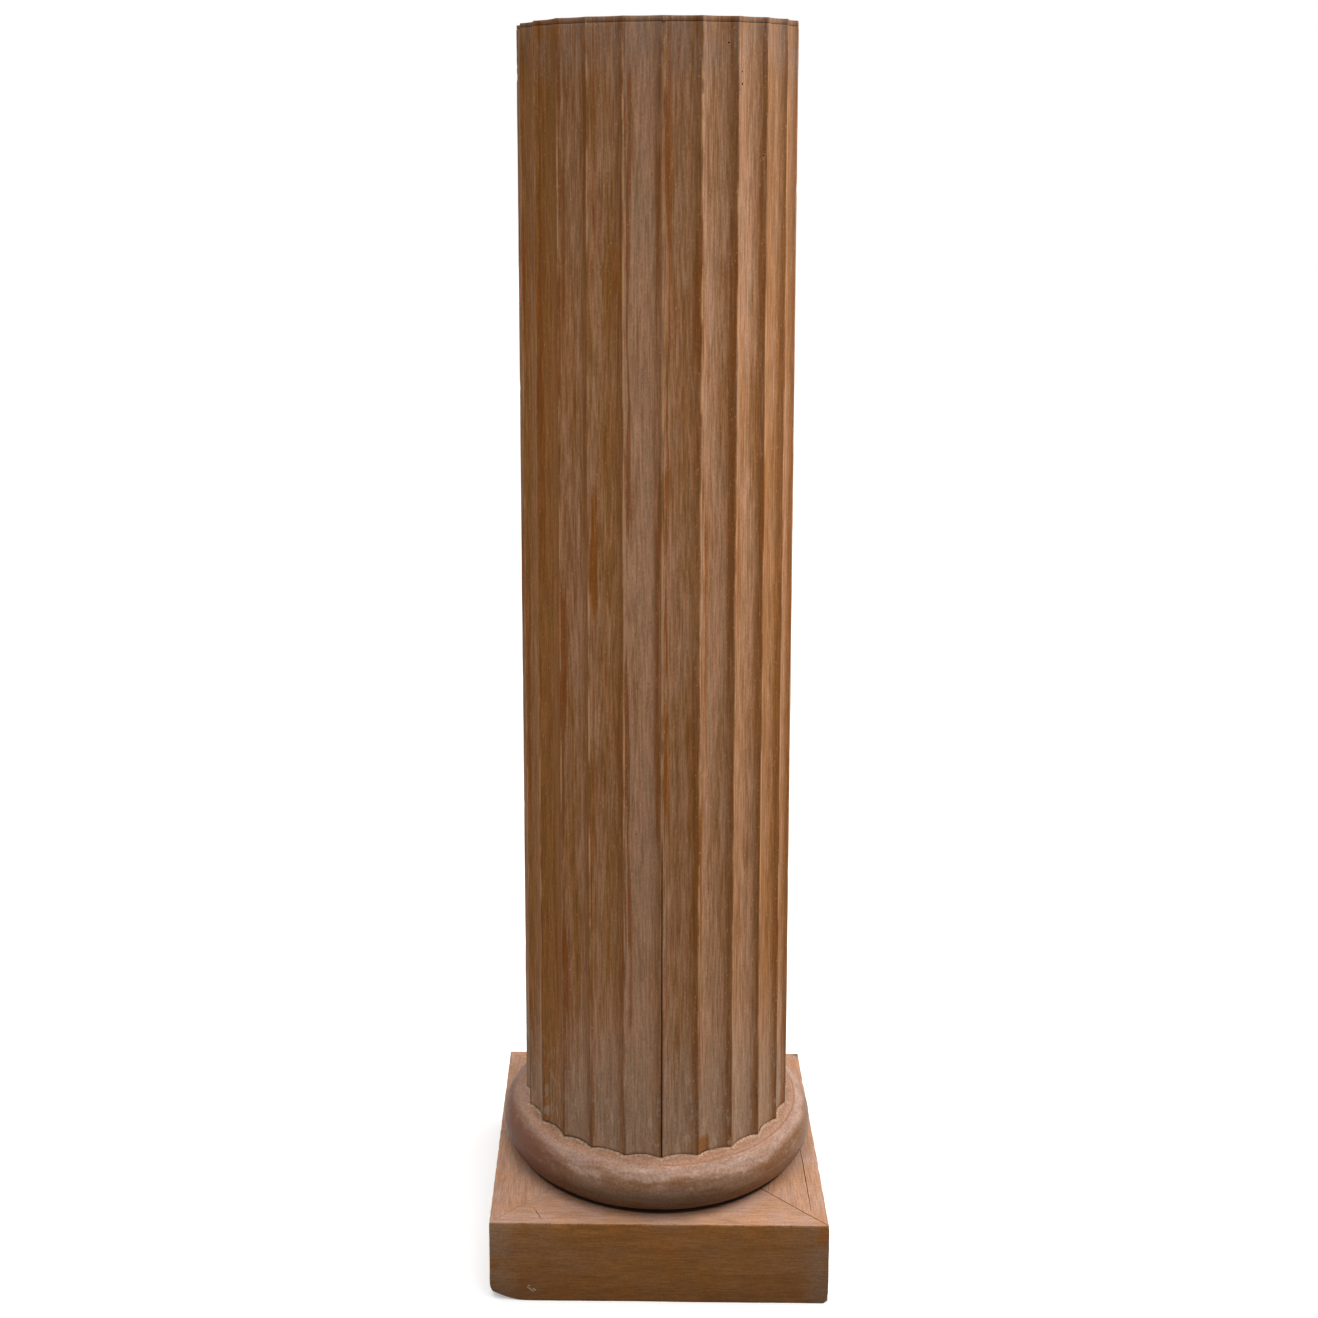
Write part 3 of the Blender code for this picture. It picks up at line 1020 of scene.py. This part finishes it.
def moulding_paint():
    """Turned wood: pinkish wash on its shoulder, brown below, filler and a red line by the shaft."""
    paint = Paint("moulding_wood")
    angle, radius, height = paint.around()
    x, y, _ = paint.axes(paint.place)
    ring = round_the_moulding(paint, x, y, radius, height)
    streaks = paint.noise((16, 16, 260), 5.0, detail=4, roughness=0.6, place=ring)
    patches = paint.noise((20, 20, 70), 9.0, detail=5, roughness=0.6, place=ring)
    blotches = paint.noise((48, 48, 120), 17.0, detail=5, roughness=0.68, place=ring)
    fine = paint.noise((420, 420, 420), 13.0, detail=2)
    colour = turned_wood(paint, x, height, streaks, patches, blotches)
    rim = (height, TORUS_TOP - 0.0034, TORUS_TOP - 0.0012)
    colour = paint.lay(colour, RIM_WOOD, rim, (streaks, 0.34, 0.54), 0.8)
    line = paint.product(
        (paint.away(radius, TURNING_LINE_RADIUS), 0.0012, 0.0003),
        (height, TORUS_TOP - 0.008, TORUS_TOP - 0.006),
        (patches, 0.35, 0.55),
        (angle, -0.25, 0.15),
    )
    colour = paint.lay(colour, LINE_RED, line, 0.6)
    beside_shaft = (paint.attribute("from_shaft"), 0.0036, 0.0020)
    colour = paint.lay(colour, PALE_FILLER, beside_shaft, (fine, 0.34, 0.56), 0.6)
    colour = paint.shade(colour, (fine, 0.30, 0.70), 0.82, 1.14)
    colour = paint.shade(colour, (streaks, 0.32, 0.62), 0.88, 1.08)
    far_left = paint.product((x, -0.070, -0.120), (blotches, 0.28, 0.48))
    below_rim = (height, TORUS_TOP, TORUS_TOP - 0.008)
    colour = paint.lay(colour, LEFT_BROWN, far_left, below_rim, 0.85)
    paint.relief(paint.total(streaks, paint.product(fine, 0.6)))
    rough = paint.total(paint.product(patches, 0.25), 0.40)
    return paint.finish(colour, rough, 0.15)


# Colours of the plinth's edges and of its bleached top
EDGE_BROWN = (0.200, 0.080, 0.020, 1)
EDGE_LIGHT = (0.250, 0.106, 0.032, 1)
EDGE_PINK = (0.235, 0.118, 0.056, 1)
EDGE_ORANGE = (0.250, 0.086, 0.016, 1)
EDGE_GREY = (0.235, 0.140, 0.084, 1)
TOP_LIGHT = (0.365, 0.196, 0.116, 1)
TOP_SALMON = (0.425, 0.235, 0.145, 1)
TOP_PINK = (0.395, 0.240, 0.178, 1)
TOP_ORANGE = (0.410, 0.195, 0.092, 1)
DARK_SPOT = (0.085, 0.035, 0.012, 1)
RUBBED_EDGE_AND_HIGHLIGHT = (0.420, 0.220, 0.110, 1)
DARK_RESIDUE = (0.095, 0.065, 0.045, 1)
SCRATCHED = (0.620, 0.480, 0.330, 1)

# Painted shadow in the hollow between the plinth and the moulding reaches out to here
CONTACT_RADIUS = TORUS_RADIUS - 0.014

# Place and reach of a few light scratches on the front board, at its lower left
SCRATCH_X = -0.1147
SCRATCH_Z = 0.0120
SCRATCH_REACH = 0.0048


def scratch_mask(paint, x, y, z, spots):
    """Two fine scratches that slant down to the right, broken by the grain."""
    across = paint.math("SUBTRACT", x, SCRATCH_X)
    rise = paint.math("SUBTRACT", z, SCRATCH_Z)
    squares = paint.total(paint.math("POWER", across, 2.0), paint.math("POWER", rise, 2.0))
    inside = (paint.math("SQRT", squares), SCRATCH_REACH, SCRATCH_REACH * 0.8)
    slant = paint.total(paint.product(across, 0.62), paint.product(rise, 0.78))
    first = (paint.away(slant, 0.0009), 0.0006, 0.0001)
    second = (paint.away(slant, -0.0012), 0.0005, 0.0001)
    lines = paint.math("MAXIMUM", first, second)
    return paint.product(inside, lines, (y, -0.14, -0.15), (spots, 0.40, 0.52), 0.9)


def edge_wood(paint, figure, patches, end, z):
    """Brown wood of a board's upright faces, greyer near its ends and darker below."""
    colour = paint.mix((figure, 0.30, 0.70), EDGE_BROWN, EDGE_LIGHT)
    colour = paint.lay(colour, EDGE_PINK, (patches, 0.50, 0.68), 0.4)
    colour = paint.lay(colour, EDGE_ORANGE, (patches, 0.46, 0.34), 0.5)
    corner = (paint.away(end, 0.0), PLINTH_HALF - 0.030, PLINTH_HALF - 0.004)
    colour = paint.lay(colour, EDGE_GREY, corner, (patches, 0.36, 0.56), 0.7)
    colour = paint.shade(colour, (z, 0.0, 0.035), 0.78, 1.0)
    return paint.shade(colour, (z, 0.045, 0.074), 1.0, 1.18)


def bleached_wood(paint, figure, patches):
    """Pinkish wood of a board's upper face."""
    colour = paint.mix((figure, 0.34, 0.66), TOP_LIGHT, TOP_SALMON)
    colour = paint.lay(colour, TOP_PINK, (patches, 0.44, 0.62), 0.7)
    return paint.lay(colour, TOP_ORANGE, (patches, 0.44, 0.34), 0.5)


def mitre_shade_mask(paint, x, y, spots):
    """Painted shade along the mitres, most of it in the open one at the front right."""
    off_mitre = paint.math("SUBTRACT", paint.away(x, 0.0), paint.away(y, 0.0))
    front_right = paint.product((x, 0.0, 0.01), (y, 0.0, -0.01))
    return paint.product(
        (paint.away(off_mitre, 0.0), 0.0010, 0.0004),
        paint.total(paint.product(front_right, 0.7), 0.1),
        (spots, 0.2, 0.5),
    )


def plinth_paint(name, along):
    """Boards that are bleached and pinkish on top and brown on their edges.

    along is the axis that the board's grain follows.
    """
    paint = Paint(name)
    x, y, z = paint.axes(paint.place)

    def grain(length, width, offset, detail, distortion=0.0):
        """Noise that is stretched along the board."""
        scales = [1 / width] * 3
        scales[along] = 1 / length
        return paint.noise(scales, offset, detail=detail, roughness=0.6, distortion=distortion)

    lines = grain(0.018, 0.0014, 4.0, detail=2)
    figure = grain(0.070, 0.0070, 6.0, detail=5, distortion=0.3)
    patches = paint.noise((26, 26, 34), 15.0, detail=4)
    spots = paint.noise((520, 520, 520), 21.0, detail=2)
    up = (paint.axes(paint.normal)[2], 0.60, 0.90)
    colour = edge_wood(paint, figure, patches, (x, y)[along], z)
    colour = paint.lay(colour, bleached_wood(paint, figure, patches), up)
    colour = paint.shade(colour, (lines, 0.30, 0.70), 0.84, 1.13)
    colour = paint.shade(colour, (spots, 0.30, 0.70), 0.90, 1.08)
    colour = paint.lay(colour, DARK_SPOT, (spots, 0.28, 0.22), 0.6)
    # Light band along the top of each upright face: rubbed wear and a painted highlight on the rounded edge
    edge = (paint.math("SUBTRACT", PLINTH_HEIGHT, z), 0.0020, 0.0008)
    colour = paint.lay(colour, RUBBED_EDGE_AND_HIGHLIGHT, edge, (spots, 0.32, 0.52), paint.opposite(up), 0.7)
    # Painted shade in the mitre gaps
    colour = paint.lay(colour, DEEP_BROWN, mitre_shade_mask(paint, x, y, spots))
    back_right = (paint.total(x, y), 2 * PLINTH_HALF - 0.012, 2 * PLINTH_HALF - 0.005)
    colour = paint.lay(colour, DARK_RESIDUE, back_right, up, 0.8)
    colour = paint.lay(colour, SCRATCHED, scratch_mask(paint, x, y, z, spots))
    # Painted shadow: a dark ring on the top where the moulding sits on it
    painted_contact_shadow = (paint.around()[1], CONTACT_RADIUS + 0.003, CONTACT_RADIUS)
    colour = paint.lay(colour, PAINTED_SHADE_BLACK, painted_contact_shadow, up, 0.9)
    paint.relief(paint.total(lines, paint.product(spots, 0.5), figure))
    rough = paint.total(paint.product(patches, 0.25), 0.50)
    return paint.finish(colour, rough, 0.12)


# Floor, light and camera

WHITE = (1, 1, 1, 1)
FLOOR_RADIUS = 12.0
FLOOR_GREY = (0.78, 0.78, 0.78, 1)
FLOOR_GLOW = 0.28
LAMP_COLOUR = (1.0, 0.98, 0.95)
LAMP_AIM_HEIGHT = 0.7

# Light from all round: its strength below the horizon and overhead, and the heights between which it grows
SURROUND_STRENGTH = (0.16, 1.2)
SURROUND_RISE = (-0.1, 0.7)


def make_floor():
    """Pale matt floor, wide enough to fill every view. It throws no light back on the column."""
    bpy.ops.mesh.primitive_circle_add(vertices=96, radius=FLOOR_RADIUS, fill_type="NGON")
    floor = bpy.context.object
    floor.name = "floor"
    floor.visible_diffuse = False
    material = bpy.data.materials.new("pale_floor")
    material.use_nodes = True
    shader = material.node_tree.nodes["Principled BSDF"]
    shader.inputs["Base Color"].default_value = FLOOR_GREY
    shader.inputs["Roughness"].default_value = 0.9
    shader.inputs["Emission Color"].default_value = WHITE
    shader.inputs["Emission Strength"].default_value = FLOOR_GLOW
    floor.data.materials.append(material)


def soft_lamp(name, azimuth, distance, height, size, power):
    """A square soft lamp turned to the shaft's upper part, its azimuth counted from the front."""
    data = bpy.data.lights.new(name, "AREA")
    data.size = size
    data.energy = power
    data.color = LAMP_COLOUR
    lamp = bpy.data.objects.new(name, data)
    turn = math.radians(azimuth)
    lamp.location = (math.sin(turn) * distance, -math.cos(turn) * distance, height)
    away = lamp.location - Vector((0, 0, LAMP_AIM_HEIGHT))
    lamp.rotation_euler = away.to_track_quat("Z", "Y").to_euler()
    lamp.visible_camera = False
    bpy.context.scene.collection.objects.link(lamp)


def make_light():
    """Soft light from above, with a large lamp on the right and one overhead."""
    soft_lamp("overhead_light", 20, 0.9, 3.2, 2.0, 36)
    soft_lamp("right_light", 98, 1.4, 1.15, 0.7, 19)
    world = bpy.data.worlds.new("surround")
    world.use_nodes = True
    nodes = world.node_tree.nodes
    lit = nodes["Background"]
    seen = nodes.new("ShaderNodeBackground")
    for background in (lit, seen):
        background.inputs["Color"].default_value = WHITE
    place = nodes.new("ShaderNodeTexCoord")
    split = nodes.new("ShaderNodeSeparateXYZ")
    above = nodes.new("ShaderNodeMapRange")
    above.interpolation_type = "SMOOTHSTEP"
    ends = ("From Min", "From Max", "To Min", "To Max")
    for end, value in zip(ends, (*SURROUND_RISE, *SURROUND_STRENGTH)):
        above.inputs[end].default_value = value
    path = nodes.new("ShaderNodeLightPath")
    mix = nodes.new("ShaderNodeMixShader")
    for output, socket in (
        (place.outputs["Generated"], split.inputs[0]),
        (split.outputs["Z"], above.inputs["Value"]),
        (above.outputs["Result"], lit.inputs["Strength"]),
        (path.outputs["Is Camera Ray"], mix.inputs[0]),
        (lit.outputs[0], mix.inputs[1]),
        (seen.outputs[0], mix.inputs[2]),
        (mix.outputs[0], nodes["World Output"].inputs["Surface"]),
    ):
        world.node_tree.links.new(output, socket)
    bpy.context.scene.world = world
    bpy.context.scene.view_settings.view_transform = "Standard"


def make_camera():
    """The photograph's viewpoint: eye height, looking a little down, with the frame shifted."""
    data = bpy.data.cameras.new("camera")
    data.lens = CAMERA_LENS
    data.sensor_width = 36.0
    data.shift_x, data.shift_y = CAMERA_SHIFT
    camera = bpy.data.objects.new("camera", data)
    forward = Vector((math.sin(CAMERA_TURN), math.cos(CAMERA_TURN), 0)) * math.cos(CAMERA_TILT)
    forward.z = -math.sin(CAMERA_TILT)
    right = Vector((math.cos(CAMERA_TURN), -math.sin(CAMERA_TURN), 0))
    up = right.cross(forward)
    rolled_right = right * math.cos(CAMERA_ROLL) + up * math.sin(CAMERA_ROLL)
    rolled_up = up * math.cos(CAMERA_ROLL) - right * math.sin(CAMERA_ROLL)
    turn = Matrix((rolled_right, rolled_up, -forward)).transposed()
    camera.matrix_world = Matrix.Translation(CAMERA_PLACE) @ turn.to_4x4()
    bpy.context.scene.collection.objects.link(camera)
    bpy.context.scene.camera = camera


def dress(piece, node, material):
    """Put a finished piece in the place of its solid."""
    piece.data.materials.clear()
    piece.data.materials.append(material)
    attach(piece, "root")
    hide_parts(node)


dress(make_shaft(), "fluted_shaft", shaft_paint("shaft_wood", False))
dress(make_top_board(), "top_board", shaft_paint("top_board_wood", True))
dress(make_moulding(), "torus_moulding", moulding_paint())
for side, board in make_plinth().items():
    along = 0 if side in ("front", "back") else 1
    dress(board, "plinth_board_" + side, plinth_paint("plinth_wood_" + side, along))
make_floor()
make_light()
make_camera()
